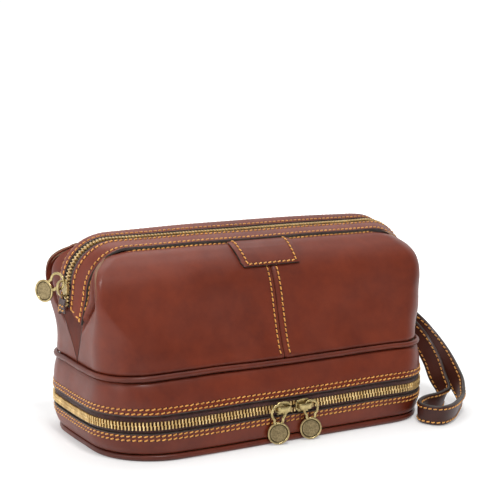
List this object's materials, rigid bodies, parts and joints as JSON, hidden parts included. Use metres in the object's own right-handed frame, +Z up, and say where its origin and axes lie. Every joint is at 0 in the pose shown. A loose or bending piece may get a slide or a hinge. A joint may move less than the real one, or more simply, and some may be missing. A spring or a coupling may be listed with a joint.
{
  "type": "shaving kit bag",
  "caption": "Leather wash bag with a zipped wire-frame pouch above a zipped flat tray, round-ended pulls, a plain leather tab and a wrist strap.",
  "frame": {"origin": "on the floor, under the middle of the bag's flat base", "axes": "+X to the bag's right seen from the front, -Y the front with the tab and the two lower pulls, +Z up"},
  "size_m": [0.3129, 0.1644, 0.1401],
  "materials": {
    "saddle_leather": "smooth oiled leather, fine grain, golden orange stitching, dark painted edges",
    "dark_leather": "smooth dark brown leather",
    "lining_fabric": "plain woven cotton",
    "zip_tape": "woven tape, maroon brown",
    "board": "stiffening board, unseen",
    "bright_brass": "polished zip teeth",
    "antique_brass": "dulled brass with polished rims",
    "frame_steel": "spring steel wire, unseen inside its leather sleeve"
  },
  "bodies": {
    "tray": {"base_panel": "saddle_leather", "base_board": "board", "base_piping": "saddle_leather", "lower_band": "saddle_leather", "tray_lining": "lining_fabric", "lower_zip_tape": "zip_tape", "lower_zip_teeth": "bright_brass", "rear_hinge_strip": "saddle_leather", "bottom_zip_stop_left": "bright_brass", "bottom_zip_stop_right": "bright_brass"},
    "upper_bag": {"upper_zip_teeth": "bright_brass", "upper_zip_tape": "zip_tape", "upper_band": "saddle_leather", "lid_lining": "lining_fabric", "waist_piping": "saddle_leather", "divider_board": "board", "pouch_floor_lining": "lining_fabric", "front_panel_left": "saddle_leather", "front_panel_right": "saddle_leather", "back_panel": "saddle_leather", "pouch_lining_front": "lining_fabric", "pouch_lining_back": "lining_fabric", "left_end_gusset": "saddle_leather", "right_end_gusset": "saddle_leather", "top_zip_tail_left": "zip_tape", "top_zip_tail_right": "zip_tape", "wrist_strap": "dark_leather"},
    "front_jaw": {"front_facing": "saddle_leather", "front_zip_tape": "zip_tape", "front_zip_teeth": "bright_brass", "front_frame_wire": "frame_steel", "label_tab": "saddle_leather"},
    "rear_jaw": {"rear_facing": "saddle_leather", "rear_zip_tape": "zip_tape", "rear_zip_teeth": "bright_brass", "rear_frame_wire": "frame_steel"},
    "top_slider": {"top_slider_body": "antique_brass"},
    "top_slider_pull": {"top_pull": "antique_brass"},
    "left_slider": {"bottom_left_slider_body": "antique_brass"},
    "left_slider_pull": {"bottom_left_pull": "antique_brass"},
    "right_slider": {"bottom_right_slider_body": "antique_brass"},
    "right_slider_pull": {"bottom_right_pull": "antique_brass"}
  },
  "joints": [
    {"name": "lid_hinge", "type": "hinge", "parent": "tray", "child": "upper_bag", "pos_m": [0, 0.0706, 0.0255], "axis": [-1, 0, 0], "range_deg": [0, 100], "deforming": ["rear_hinge_strip"]},
    {"name": "front_jaw_hinge", "type": "hinge", "parent": "upper_bag", "child": "front_jaw", "pos_m": [0, -0.0125, 0.091], "axis": [1, 0, 0], "range_deg": [0, 35], "deforming": ["front_panel_left", "front_panel_right", "pouch_lining_front", "left_end_gusset", "right_end_gusset"]},
    {"name": "rear_jaw_hinge", "type": "hinge", "parent": "upper_bag", "child": "rear_jaw", "pos_m": [0, 0.0125, 0.091], "axis": [-1, 0, 0], "range_deg": [0, 35], "deforming": ["back_panel", "pouch_lining_back"]},
    {"name": "top_slider_turn", "type": "hinge", "parent": "front_jaw", "child": "top_slider", "pos_m": [-0.1058, 0, 0.1094], "axis": [0, 1, 0], "range_deg": [0, 90]},
    {"name": "top_pull_swing", "type": "hinge", "parent": "top_slider", "child": "top_slider_pull", "pos_m": [-0.14187, 0.00257, 0.11273], "axis": [0.8797, 0.4755, 0], "range_deg": [-25, 90]},
    {"name": "bottom_left_slide", "type": "slide", "parent": "tray", "child": "left_slider", "axis": [-1, 0, 0], "range_m": [0, 0.075]},
    {"name": "bottom_left_pull_swing", "type": "hinge", "parent": "left_slider", "child": "left_slider_pull", "pos_m": [-0.01409, -0.074, 0.0225], "axis": [0, 1, 0], "range_deg": [-20, 90]},
    {"name": "bottom_right_slide", "type": "slide", "parent": "tray", "child": "right_slider", "axis": [1, 0, 0], "range_m": [0, 0.075]},
    {"name": "bottom_right_pull_swing", "type": "hinge", "parent": "right_slider", "child": "right_slider_pull", "pos_m": [0.01169, -0.074, 0.0225], "axis": [0, -1, 0], "range_deg": [-20, 90]}
  ]
}
